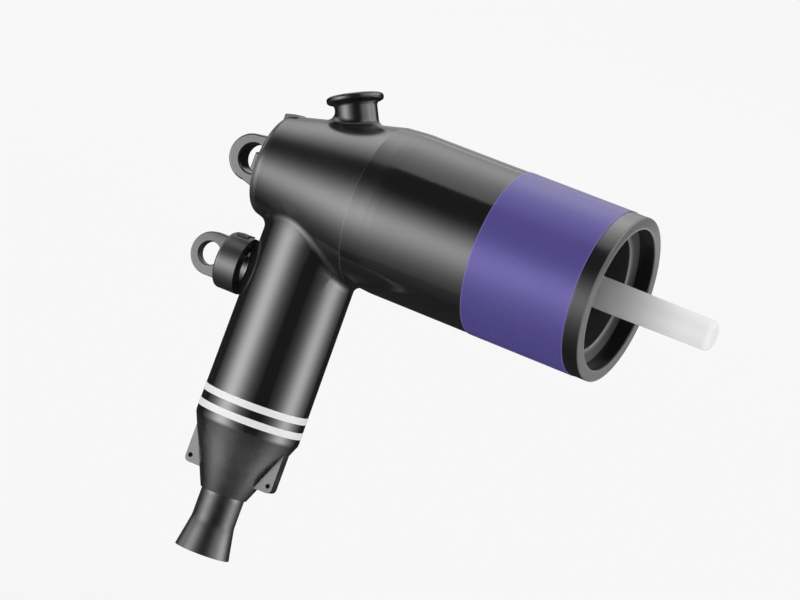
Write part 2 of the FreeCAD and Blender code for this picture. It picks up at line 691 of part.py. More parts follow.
def contact_probe():
    """The tinned copper probe: stud, collar, neck with a wrench hole, and the contact length."""
    collar = LUG_THICKNESS / 2
    neck = collar + PROBE_COLLAR_LENGTH
    rod = neck + PROBE_NECK_LENGTH
    stud_end = collar - STUD_LENGTH
    socket_end = FOLLOWER_REACH - SPIGOT_LENGTH
    body = revolved([
        (stud_end, 0, 0),
        (stud_end, STUD_RADIUS, PROBE_ROUND),
        (collar, STUD_RADIUS, 0),
        (collar, PROBE_COLLAR_RADIUS, PROBE_COLLAR_ROUND),
        (neck, PROBE_COLLAR_RADIUS, PROBE_COLLAR_ROUND),
        (neck, PROBE_NECK_RADIUS, PROBE_ROUND),
        (rod, PROBE_NECK_RADIUS, PROBE_ROUND),
        (rod + PROBE_NECK_WAIST, PROBE_RADIUS, PROBE_ROUND),
        (FOLLOWER_REACH, PROBE_RADIUS, 0),
        (FOLLOWER_REACH, SPIGOT_RADIUS, 0),
        (socket_end, SPIGOT_RADIUS, 0),
        (socket_end, 0, 0)], AXIS_X)
    wrench_hole = cross_cylinder(WRENCH_HOLE_RADIUS, (neck + rod) / 2, 0, 2 * PROBE_RADIUS)
    return as_solid(body.cut(wrench_hole).cut(reinforcing_pin()))


def arc_follower():
    """The plastic rod that leads the probe into the bushing, with a spigot in the probe's end."""
    tip = REACH + FOLLOWER_STAND_OUT
    spigot_end = FOLLOWER_REACH - SPIGOT_LENGTH
    body = revolved([
        (spigot_end, 0, 0),
        (spigot_end, SPIGOT_RADIUS, 0),
        (FOLLOWER_REACH, SPIGOT_RADIUS, 0),
        (FOLLOWER_REACH, PROBE_RADIUS, 0),
        (REACH, PROBE_RADIUS, 0),
        (tip, PROBE_RADIUS - FOLLOWER_TIP_TAPER, FOLLOWER_TIP_ROUND),
        (tip, 0, 0)], AXIS_X)
    return as_solid(body.cut(reinforcing_pin()))


def reinforcing_pin():
    """The glass-fibre pin that ties the follower to the probe."""
    start = FOLLOWER_REACH - SPIGOT_LENGTH - PIN_IN_PROBE
    return cylinder(PIN_RADIUS, Vector(start, 0, 0), AXIS_X, PIN_LENGTH)


def test_electrode():
    """The test point's electrode: a disc in the insulation and a stem to the boss's face."""
    start = Vector(-INSERT_LEG_RADIUS - ELECTRODE_DISC_GAP, 0, -TEST_DEPTH)
    stem_length = test_boss_reach() + ELECTRODE_STAND_OUT + start.x
    disc = cylinder(ELECTRODE_DISC_RADIUS, start, -AXIS_X, ELECTRODE_DISC_THICKNESS)
    return as_solid(disc.fuse(cylinder(ELECTRODE_RADIUS, start, -AXIS_X, stem_length)))


def cap_room():
    """The space inside the cap: the collar, the boss with its bead and the electrode's end."""
    collar_face = -collar_reach() - FIT_CLEARANCE
    boss_face = -test_boss_reach() - FIT_CLEARANCE
    bead_start = -test_boss_reach() + TEST_BEAD_LENGTH + FIT_CLEARANCE
    boss_radius = TEST_BOSS_RADIUS + FIT_CLEARANCE
    bead_radius = boss_radius + TEST_BEAD_PROUD
    stem_radius = ELECTRODE_RADIUS + FIT_CLEARANCE
    cap_rim = -collar_reach() + CAP_OVERLAP
    return revolved([
        (cap_rim, 0, 0),
        (cap_rim, COLLAR_RADIUS + FIT_CLEARANCE, 0),
        (collar_face, COLLAR_RADIUS + FIT_CLEARANCE, 0),
        (collar_face, boss_radius, 0),
        (bead_start, boss_radius, 0),
        (bead_start, bead_radius, 0),
        (boss_face, bead_radius, 0),
        (boss_face, stem_radius, 0),
        (boss_face - ELECTRODE_STAND_OUT, stem_radius, 0),
        (boss_face - ELECTRODE_STAND_OUT, 0, 0)], AXIS_X)


def test_cap():
    """The rubber cap over the test point, with its pull loop."""
    rim = -collar_reach() + CAP_OVERLAP
    end = -test_boss_reach() - ELECTRODE_STAND_OUT - FIT_CLEARANCE - CAP_WALL
    radius = COLLAR_RADIUS + FIT_CLEARANCE + CAP_WALL
    lip_top = radius + CAP_LIP_PROUD
    shell = cylinder(radius, Vector(rim, 0, 0), -AXIS_X, rim - end)
    end_rim = [edge for edge in shell.Edges if abs(middle_of(edge).x - end) < 0.01]
    shell = shell.makeFillet(CAP_EDGE_ROUND, end_rim)
    lip = centred_box((end + CAP_LIP_INSET, rim - CAP_LIP_INSET), CAP_LIP_WIDTH, (0, lip_top))
    lip_rim = [edge for edge in lip.Edges if abs(middle_of(edge).z - lip_top) < 0.01]
    loop_reach = -end + LOOP_STAND_OUT
    loop = loop_plate(end + LOOP_ROOT, loop_reach, LOOP_RADIUS, loop_reach + LOOP_HOLE_SHIFT,
                      LOOP_HOLE_RADIUS, LOOP_THICKNESS, (-LOOP_RADIUS, LOOP_RADIUS), 0,
                      LOOP_EDGE_ROUND)
    cap = as_solid(shell.fuse([lip.makeFillet(CAP_LIP_ROUND, lip_rim), loop]).cut(cap_room()))
    cap.translate(Vector(0, 0, -TEST_DEPTH))
    return cap


def build():
    inside = insulation_outside()
    insert = insert_outside()
    strap = eye_strap()
    electrode = test_electrode()
    return {
        "outer_shield": outer_shield(inside, strap),
        "insulation": insulation(inside, insert, electrode),
        "inner_shield": inner_shield(insert),
        "voltage_band": voltage_band(),
        "upper_leg_mark": leg_mark(0),
        "lower_leg_mark": leg_mark(1),
        "pulling_eye_strap": strap,
        "connector_lug": connector_lug(),
        "connector_barrel": connector_barrel(),
        "contact_probe": contact_probe(),
        "reinforcing_pin": reinforcing_pin(),
        "arc_follower": arc_follower(),
        "test_point_electrode": electrode,
        "test_point_cap": test_cap(),
    }


os.makedirs("parts", exist_ok=True)
for name, solid in build().items():
    solid = solid.copy()
    solid.translate(Vector(-REACH, 0, 0))
    solid.exportStep(os.path.join("parts", name + ".step"))
    print(name, solid.isValid(), len(solid.Solids), round(solid.Volume), "mm3")
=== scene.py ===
import math

import bpy
from mathutils import Matrix, Vector


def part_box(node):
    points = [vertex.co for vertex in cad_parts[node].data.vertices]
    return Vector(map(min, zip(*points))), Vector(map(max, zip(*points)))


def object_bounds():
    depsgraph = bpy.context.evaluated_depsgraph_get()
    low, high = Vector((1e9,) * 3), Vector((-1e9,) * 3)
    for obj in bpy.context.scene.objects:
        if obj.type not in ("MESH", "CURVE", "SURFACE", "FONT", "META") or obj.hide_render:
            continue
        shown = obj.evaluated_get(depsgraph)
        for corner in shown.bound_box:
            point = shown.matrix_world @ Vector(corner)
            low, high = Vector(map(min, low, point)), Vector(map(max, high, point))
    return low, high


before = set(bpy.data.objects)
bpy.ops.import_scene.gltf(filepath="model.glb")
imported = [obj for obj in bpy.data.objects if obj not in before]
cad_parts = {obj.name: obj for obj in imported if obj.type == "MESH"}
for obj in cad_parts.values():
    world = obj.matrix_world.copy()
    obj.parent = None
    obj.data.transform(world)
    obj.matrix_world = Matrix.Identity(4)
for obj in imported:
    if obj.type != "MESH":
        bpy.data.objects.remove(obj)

# A moulded rubber elbow connector on a pale ground, lit by three softboxes.
# Metres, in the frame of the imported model: +X out of the mouth, the cable leg down along -Z.
# Directions are given as an azimuth from -Y towards +X and an elevation, in degrees.
# Where a place has two values, something fades in or out between them.

cad_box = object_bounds()

# View of the photograph
IMAGE_WIDTH = 800
IMAGE_HEIGHT = 600
SENSOR_WIDTH = 36.0
FOCAL_PIXELS = 8000.0
VIEW_AZIMUTH = 20.44
VIEW_ELEVATION = 4.25
VIEW_ROLL = 20.13
VIEW_DISTANCE = 3.979
VIEW_LIMIT = 100.0                  # how far the camera sees
CROSSING_PIXEL = (334.9, 188.0)     # where the axes of arm and leg cross in the photograph

# Ground
FLOOR_BELOW = 0.05                  # under the lowest point of the object
FLOOR_SIZE = 60.0
FLOOR_GLOW = 0.8                    # share of its own light, so that shadows on it stay faint
PALE = (0.93, 0.93, 0.935)

# Softboxes: azimuth and elevation of the bright spot, radiance in gloss and on matt surfaces
SOFTBOXES = {
    "left_softbox": (-41.0, -9.0, 8.7, 0.86),
    "right_softbox": (99.0, -8.0, 6.6, 0.70),
}
SOFTBOX_DISTANCE = 2.0
SOFTBOX_WIDTH = 5.6
SOFTBOX_ABOVE = 1.9                 # from the bright spot up to the upper edge
SOFTBOX_BELOW = 2.8
SOFTBOX_DIMMING = (-0.3, 1.9)       # heights over the bright spot between which it dims to nothing
SOFTBOX_FADE = 1.15                 # how far from its bright spot a softbox fades to a quarter
POWER_FOR_RADIANCE = 4.0            # lamp power for each square metre and unit of radiance
# The overhead softbox hangs level: its edges and its bright spot for each metre of height
TOP_HEIGHT = 2.5
TOP_X = (-1.05, 0.60)
TOP_Y = (-0.53, 1.90)
TOP_SPOT = (-0.75, 0.25)
TOP_FADE = 1.8
TOP_EDGE = 0.20                     # share of its full strength that is left far from the spot
TOP_GLOSS = 3.0
TOP_MATT = 2.1
ROOM_FILL = 1.00                    # plain light from all round
ROOM_IN_GLOSS = 0.02                # dark studio round the softboxes, as the rubber mirrors it
# Dim lit parts of the room in gloss: azimuth, elevation, radiance, cosines of outskirts and middle
GLOWS = {
    "table_in_front": (12.0, -62.0, 0.37, 0.72, 0.97),
    "window_on_the_left": (-90.0, 18.0, 1.8, 0.94, 0.99),
    "window_on_the_right": (68.0, 43.0, 3.6, 0.80, 0.985),
    "window_farther_back": (118.0, 38.0, 4.6, 0.80, 0.985),
    "wall_on_the_left": (-112.0, 34.0, 0.8, 0.80, 0.97),
    "wall_behind": (-158.0, 14.0, 0.6, 0.93, 0.99),
}

# Moulded surfaces in general
MOTTLE_SCALE = 55.0                 # broad mottling, in waves to a metre
GRAIN_SIZE = 0.0012
GRAIN_BUMP = 0.35
NOISE_MIDDLE = (0.3, 0.7)           # values that a noise mostly keeps between
NOISE_WIDE = (0.25, 0.75)
ROUGHNESS_SPREAD = (0.9, 1.12)      # times the roughness, over the mottling

# Jacket: the specular level of its shader, and what is added to it on some parts
JACKET_SPECULAR = 0.55
FUNNEL_SPECULAR = 0.36
NECK_SPECULAR = -0.12
FLARE_SPECULAR = 0.32
TAB_SPECULAR = -0.26

# Heel: duller, with a painted highlight along the parting line before it and a painted highlight round its
# back edge
SEAM_REACH = 0.0258                 # leg's axis to the parting line where the tapered heel begins
SEAM_WIDTH = 0.0010
SEAM_ON_LEG = (-0.045, -0.032)      # heights between which the line comes out of the leg
SEAM_MIDDLE = (-0.010, 0.020)       # heights between which it gets fainter upwards
SEAM_HIGHLIGHT_UPPER_SHARE = 0.35
# Painted highlight: the parting line is drawn lighter than the rubber
SEAM_HIGHLIGHT_COLOUR = (0.050, 0.050, 0.052)
HEEL_LENGTH = 0.0616
HEEL_BACK = 0.002                   # behind the heel's back face, where its look fades out
HEEL_OVER_LEG = (-0.030, -0.019)    # heights between which the leg goes over into the heel
HEEL_FRONT = (0.0085, 0.017)        # from the parting line towards the mouth, where it fades out
HEEL_DULLNESS = (0.85, 0.55)        # at the back face and at the parting line
HEEL_ROUGHNESS = 0.16               # added where the heel is dullest
HEEL_SPECULAR = 0.33                # level where the heel is dullest
# Painted highlight on the heel's back edge, lighter than the rubber
HEEL_EDGE_HIGHLIGHT_COLOUR = (0.15, 0.15, 0.154)
# The painted highlight stripe fades in two steps: start and end from the back face, and the share that goes
HEEL_EDGE_HIGHLIGHT_STEPS = ((0.0012, 0.0024, 0.55), (0.0044, 0.0056, 0.45))
HEEL_EDGE_HIGHLIGHT_ABOVE = (0.000, 0.006)         # heights between which it fades upwards to a share
HEEL_EDGE_HIGHLIGHT_ABOVE_SHARE = 0.15
HEEL_EDGE_HIGHLIGHT_BELOW = (-0.020, -0.006)       # and downwards
HEEL_EDGE_HIGHLIGHT_BELOW_SHARE = 0.25

# Cable end: funnel, earthing tabs, neck and flare under the lower white ring
FUNNEL_SPAN = 0.039                 # from under the lower ring to the neck
MATT_START = (-0.008, -0.001)       # heights from the lower ring's lower edge
MATT_ROUGHNESS = 0.12
NECK_START = 0.002                  # length of the change from funnel to neck
NECK_ROUGHNESS = 0.05
FLARE_LENGTH = 0.0163               # flared end of the neck
FLARE_START = (-0.008, 0.003)       # heights from the flare's upper end
TAB_REACH = 0.015                   # from the leg's axis, where the earthing tabs stand free
TAB_THICKNESS = 0.007
TAB_EDGE = (0.001, 0.0005)          # how far their gloss fades, outwards and sideways
PATCH_SCALE = 130.0                 # dusty patches above the flare, in waves to a metre
PATCH_MIDDLE = (0.35, 0.65)
PATCH_ROUGHNESS = 0.07
PATCH_COLOUR = (0.014, 0.014, 0.015)

# Cuff: the jacket past the purple band, with a matt moulded front face that carries painted light and shade
CUFF_START = 0.001                  # length of the change past the band
CUFF_WALL = 0.006
CUFF_ROUGHNESS = 0.10
CUFF_HEIGHTS = (0.010, 0.040)
CUFF_SPECULAR = (-0.25, 0.45)       # added below and above these heights
LAND_DEPTH = 0.0005                 # how far back the front face is matt
LAND_ROUGHNESS = 0.35
# Painted light below and painted shade at the upper front of the front face, and a painted highlight along
# its inner edge
LAND_LIT_AND_SHADED_COLOURS = ((0.110, 0.110, 0.114), (0.010, 0.010, 0.011))   # below and at the upper front
LAND_SHADED_SIDE = (0.42, 0.9)      # direction of the dark side, towards -Y and +Z
LAND_SHADE_CHANGE = (0.35, 0.95)          # times the cuff's radius in that direction
LAND_INNER_HIGHLIGHT_COLOUR = (0.150, 0.150, 0.155)
LAND_INNER_HIGHLIGHT_EDGE = (0.0002, 0.0014)  # from the wall's inner face outwards

# Cap: duller where its top lies under the heel
CAP_TOP = (-0.008, -0.002)          # heights from its highest point
CAP_SPECULAR = (0.63, 0.20)         # below and at the top

# Insulation: a painted highlight on the edge where the bushing goes in
BEVEL_DEPTH = 0.0019
BEVEL_WIDTH = 0.0016
BEVEL_HIGHLIGHT_COLOUR = (0.16, 0.16, 0.165)

# Purple band: slightly paler along its edges
BAND_SPECULAR_TINT = (0.58, 0.55, 1.0)
BAND_EDGE_WIDTH = 0.0014
BAND_EDGE_COLOUR = (0.16, 0.13, 0.34)

# Follower: painted shade greys it where it comes out of the dark mouth
FOLLOWER_SHADED_ROOT_COLOUR = (0.43, 0.43, 0.44)
FOLLOWER_TIP_COLOUR = (0.71, 0.71, 0.715)
FOLLOWER_TIP = 0.012                # from its end, where the pale tip begins
FOLLOWER_CLEAR = 0.6                # share of the light that goes into it
FOLLOWER_DEPTH = 0.004              # how far that light spreads


def crossing_point():
    """Where the axes of arm and leg cross: the white rings are round the leg's axis."""
    low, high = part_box("upper_leg_mark")
    return Vector(((low[0] + high[0]) / 2, (low[1] + high[1]) / 2, 0.0))


def highest(node):
    return Vector(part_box(node)[1])


def lowest(node):
    return Vector(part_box(node)[0])


def direction(azimuth, elevation):
    """Unit vector towards an azimuth and an elevation in degrees."""
    turn = math.radians(azimuth)
    rise = math.radians(elevation)
    return Vector((math.sin(turn) * math.cos(rise), -math.cos(turn) * math.cos(rise), math.sin(rise)))


def view_axes():
    """The camera's right, up and backward directions."""
    back = direction(VIEW_AZIMUTH, VIEW_ELEVATION)
    level = Vector((-back.y, back.x, 0.0)).normalized()
    upright = back.cross(level)
    roll = math.radians(VIEW_ROLL)
    right = level * math.cos(roll) + upright * math.sin(roll)
    return right, back.cross(right), back


def add_camera():
    right, up, back = view_axes()
    metres_per_pixel = VIEW_DISTANCE / FOCAL_PIXELS
    across = (CROSSING_PIXEL[0] - IMAGE_WIDTH / 2) * metres_per_pixel
    down = (CROSSING_PIXEL[1] - IMAGE_HEIGHT / 2) * metres_per_pixel
    place = crossing_point() + back * VIEW_DISTANCE - right * across + up * down
    data = bpy.data.cameras.new("photo_view")
    data.sensor_width = SENSOR_WIDTH
    data.lens = FOCAL_PIXELS / IMAGE_WIDTH * SENSOR_WIDTH
    data.clip_end = VIEW_LIMIT
    camera = bpy.data.objects.new("photo_view", data)
    camera.matrix_world = Matrix.Translation(place) @ Matrix((right, up, back)).transposed().to_4x4()
    bpy.context.collection.objects.link(camera)
    bpy.context.scene.camera = camera


class Graph:
    """Short calls for building one node tree."""

    def __init__(self, owner):
        owner.use_nodes = True
        self.tree = owner.node_tree
        self.tree.nodes.clear()

    def node(self, kind, **settings):
        made = self.tree.nodes.new(kind)
        for name, value in settings.items():
            setattr(made, name, value)
        return made

    def link(self, source, target):
        self.tree.links.new(source, target)

    def feed(self, socket, value):
        """Puts a number, a colour or another node's output into a socket."""
        if isinstance(value, bpy.types.NodeSocket):
            self.link(value, socket)
        elif isinstance(value, (tuple, list)) and len(value) == 3 and len(socket.default_value) == 4:
            socket.default_value = (*value, 1.0)
        else:
            socket.default_value = value

    def math(self, operation, *values, clamp=False):
        made = self.node("ShaderNodeMath", operation=operation, use_clamp=clamp)
        for socket, value in zip(made.inputs, values):
            self.feed(socket, value)
        return made.outputs[0]

    def total(self, value, *others):
        for other in others:
            value = self.math("ADD", value, other)
        return value

    def product(self, value, *others):
        for other in others:
            value = self.math("MULTIPLY", value, other)
        return value

    def distance(self, value, centre):
        return self.math("ABSOLUTE", self.math("SUBTRACT", value, centre))

    def vector_math(self, operation, *values):
        made = self.node("ShaderNodeVectorMath", operation=operation)
        for socket, value in zip(made.inputs, values):
            self.feed(socket, value)
        return made.outputs["Value"] if operation in ("DISTANCE", "DOT_PRODUCT") else made.outputs[0]

    def remap(self, value, low, high, to_low, to_high, kind="SMOOTHSTEP"):
        made = self.node("ShaderNodeMapRange", interpolation_type=kind)
        for socket, number in zip(made.inputs, (value, low, high, to_low, to_high)):
            self.feed(socket, number)
        return made.outputs[0]

    def rise(self, value, low, high):
        """0 below the lower of two values, 1 above the higher."""
        return self.remap(value, low, high, 0.0, 1.0)

    def fall(self, value, low, high):
        """1 below the lower of two values, 0 above the higher."""
        return self.remap(value, low, high, 1.0, 0.0)

    def near(self, value, centre, width):
        """1 at a value, fading to 0 at half a width from it."""
        return self.fall(self.distance(value, centre), 0.0, width / 2)

    def noise(self, coordinate, scale, detail, roughness):
        made = self.node("ShaderNodeTexNoise")
        self.link(coordinate, made.inputs["Vector"])
        made.inputs["Scale"].default_value = scale
        made.inputs["Detail"].default_value = detail
        made.inputs["Roughness"].default_value = roughness
        return made.outputs[0]

    def mix_colour(self, share, first, second):
        made = self.node("ShaderNodeMix", data_type="RGBA")
        self.feed(made.inputs[0], share)
        self.feed(made.inputs[6], first)
        self.feed(made.inputs[7], second)
        return made.outputs[2]

    def seen_directly(self):
        """1 for rays that look at the pale ground: from the camera or through clear pieces."""
        path = self.node("ShaderNodeLightPath")
        return self.math("MAXIMUM", path.outputs["Is Camera Ray"], path.outputs["Is Transmission Ray"])


def add_world():
    """Plain light for matt surfaces; in gloss a dark room with a few dim lit parts."""
    world = bpy.data.worlds.new("studio")
    bpy.context.scene.world = world
    graph = Graph(world)
    where = graph.node("ShaderNodeTexCoord").outputs["Generated"]
    gloss = ROOM_IN_GLOSS
    for azimuth, elevation, radiance, outskirts, centre in GLOWS.values():
        cosine = graph.vector_math("DOT_PRODUCT", where, tuple(direction(azimuth, elevation)))
        gloss = graph.total(gloss, graph.remap(cosine, outskirts, centre, 0.0, radiance))
    is_gloss = graph.node("ShaderNodeLightPath").outputs["Is Glossy Ray"]
    room = graph.mix_colour(is_gloss, (ROOM_FILL,) * 3, gloss)
    background = graph.node("ShaderNodeBackground")
    graph.link(graph.mix_colour(graph.seen_directly(), room, PALE), background.inputs["Color"])
    output = graph.node("ShaderNodeOutputWorld")
    graph.link(background.outputs[0], output.inputs["Surface"])


def lamp_strength(graph, spot, fade, edge, dimming):
    """Full at a spot, fading round there to the edge's share, and upwards between two heights if given."""
    place = graph.node("ShaderNodeNewGeometry").outputs["Position"]
    away = graph.math("DIVIDE", graph.vector_math("DISTANCE", place, tuple(spot)), fade)
    strength = graph.math("POWER", graph.total(graph.product(away, away), 1.0), -2.0)
    if edge:
        strength = graph.remap(strength, 0.0, 1.0, edge, 1.0, "LINEAR")
    if dimming:
        parts = graph.node("ShaderNodeSeparateXYZ")
        graph.link(place, parts.inputs[0])
        start, end = (spot.z + height for height in dimming)
        strength = graph.product(strength, graph.fall(parts.outputs["Z"], start, end))
    return strength


def area_lamp(name, size, radiance, spot, fade, edge, dimming):
    """An area lamp that is brightest at a spot on it."""
    data = bpy.data.lights.new(name, "AREA")
    data.shape = "RECTANGLE"
    data.size, data.size_y = size
    data.energy = POWER_FOR_RADIANCE * size[0] * size[1] * radiance
    graph = Graph(data)
    emission = graph.node("ShaderNodeEmission")
    graph.link(lamp_strength(graph, spot, fade, edge, dimming), emission.inputs["Strength"])
    graph.link(emission.outputs[0], graph.node("ShaderNodeOutputLight").inputs["Surface"])
    lamp = bpy.data.objects.new(name, data)
    bpy.context.collection.objects.link(lamp)
    return lamp


def softbox(name, place, turn, gloss, matt, size, spot, fade, edge=0.0, dimming=None):
    """A softbox as two lamps in one place: one is mirrored in glossy surfaces, one lights matt ones."""
    for use, radiance in (("gloss", gloss), ("matt", matt)):
        lamp = area_lamp(name + "_" + use, size, radiance, spot, fade, edge, dimming)
        lamp.location = place
        lamp.rotation_euler = turn
        lamp.visible_diffuse = use == "matt"
        lamp.visible_glossy = use == "gloss"


def add_lights():
    middle = (Vector(cad_box[0]) + Vector(cad_box[1])) / 2
    for name, (azimuth, elevation, gloss, matt) in SOFTBOXES.items():
        towards = direction(azimuth, elevation)
        spot = middle + towards * SOFTBOX_DISTANCE
        turn = (-towards).to_track_quat("-Z", "Y")
        centre = spot + turn @ Vector((0.0, (SOFTBOX_ABOVE - SOFTBOX_BELOW) / 2, 0.0))
        size = (SOFTBOX_WIDTH, SOFTBOX_ABOVE + SOFTBOX_BELOW)
        softbox(name, centre, turn.to_euler(), gloss, matt, size, spot, SOFTBOX_FADE,
                dimming=SOFTBOX_DIMMING)
    centre = middle + Vector((sum(TOP_X) / 2, sum(TOP_Y) / 2, 1.0)) * TOP_HEIGHT
    spot = middle + Vector((*TOP_SPOT, 1.0)) * TOP_HEIGHT
    size = [(high - low) * TOP_HEIGHT for low, high in (TOP_X, TOP_Y)]
    softbox("top_softbox", centre, (0.0, 0.0, 0.0), TOP_GLOSS, TOP_MATT, size, spot, TOP_FADE, TOP_EDGE)


def pale_ground():
    material = bpy.data.materials.new("pale_ground")
    graph = Graph(material)
    matt = graph.node("ShaderNodeBsdfDiffuse")
    graph.feed(matt.inputs["Color"], PALE)
    glow = graph.node("ShaderNodeEmission")
    graph.feed(glow.inputs["Color"], PALE)
    blend = graph.node("ShaderNodeMixShader")
    graph.link(graph.product(graph.seen_directly(), FLOOR_GLOW), blend.inputs[0])
    graph.link(matt.outputs[0], blend.inputs[1])
    graph.link(glow.outputs[0], blend.inputs[2])
    graph.link(blend.outputs[0], graph.node("ShaderNodeOutputMaterial").inputs["Surface"])
    return material


def add_floor():
    """A pale ground that shows the soft shadow and hides neither the low softbox nor its gloss."""
    bpy.ops.mesh.primitive_plane_add(size=FLOOR_SIZE, location=(0, 0, cad_box[0][2] - FLOOR_BELOW))
    floor = bpy.context.object
    floor.name = "floor"
    floor.visible_shadow = False
    floor.visible_glossy = False
    floor.data.materials.append(pale_ground())


class Surface(Graph):
    """A moulded surface: slightly mottled colour and gloss over a fine grain, all worked out in space.

    The grain is given by its depth. Along, across and height are sockets of a point's X, Y and Z.
    """

    def __init__(self, name, colour, roughness, grain=0.0003, mottle=0.15, specular=0.5):
        self.material = bpy.data.materials.new(name)
        super().__init__(self.material)
        self.shader = self.node("ShaderNodeBsdfPrincipled")
        self.place = self.node("ShaderNodeTexCoord").outputs["Object"]
        parts = self.node("ShaderNodeSeparateXYZ")
        self.link(self.place, parts.inputs[0])
        self.along, self.across, self.height = parts.outputs
        broad = self.noise(self.place, MOTTLE_SCALE, detail=3.0, roughness=0.5)
        fine = self.noise(self.place, 1.0 / GRAIN_SIZE, detail=3.0, roughness=0.6)
        self.set_input("Base Color", self.mottled(colour, mottle, broad, fine))
        smoothest, roughest = (roughness * share for share in ROUGHNESS_SPREAD)
        self.set_input("Roughness", self.remap(broad, *NOISE_WIDE, smoothest, roughest))
        self.set_input("Specular IOR Level", specular)
        self.set_input("Normal", self.bump(fine, grain))
        self.link(self.shader.outputs[0], self.node("ShaderNodeOutputMaterial").inputs["Surface"])

    def set_input(self, name, value):
        """Puts a value or a node's output into one of the shader's inputs."""
        self.feed(self.shader.inputs[name], value)

    def mottled(self, colour, mottle, broad, fine):
        """The colour, varied by a share of itself with a broad and a fine noise."""
        darker = tuple(channel * (1.0 - mottle) for channel in colour)
        lighter = tuple(min(1.0, channel * (1.0 + mottle)) for channel in colour)
        tone = self.remap(broad, *NOISE_MIDDLE, 1.0 - mottle, 1.0 + mottle)
        speck = self.remap(fine, *NOISE_MIDDLE, 1.0 - mottle, 1.0 + mottle)
        share = self.math("MULTIPLY", self.product(tone, speck), 0.5, clamp=True)
        return self.mix_colour(share, darker, lighter)

    def bump(self, height, depth):
        made = self.node("ShaderNodeBump")
        made.inputs["Strength"].default_value = GRAIN_BUMP
        made.inputs["Distance"].default_value = depth
        self.link(height, made.inputs["Height"])
        return made.outputs[0]

    def radius(self):
        """Distance of a point from the arm's axis."""
        squares = self.total(self.product(self.across, self.across), self.product(self.height, self.height))
        return self.math("SQRT", squares)

    def tint(self, share, colour):
        """Mixes a colour over the base colour."""
        base = self.shader.inputs["Base Color"].links[0].from_socket
        self.set_input("Base Color", self.mix_colour(share, base, colour))

    def roughen(self, share, amount):
        """Adds to the roughness where the share is high."""
        base = self.shader.inputs["Roughness"].links[0].from_socket
        self.set_input("Roughness", self.total(base, self.product(share, amount)))


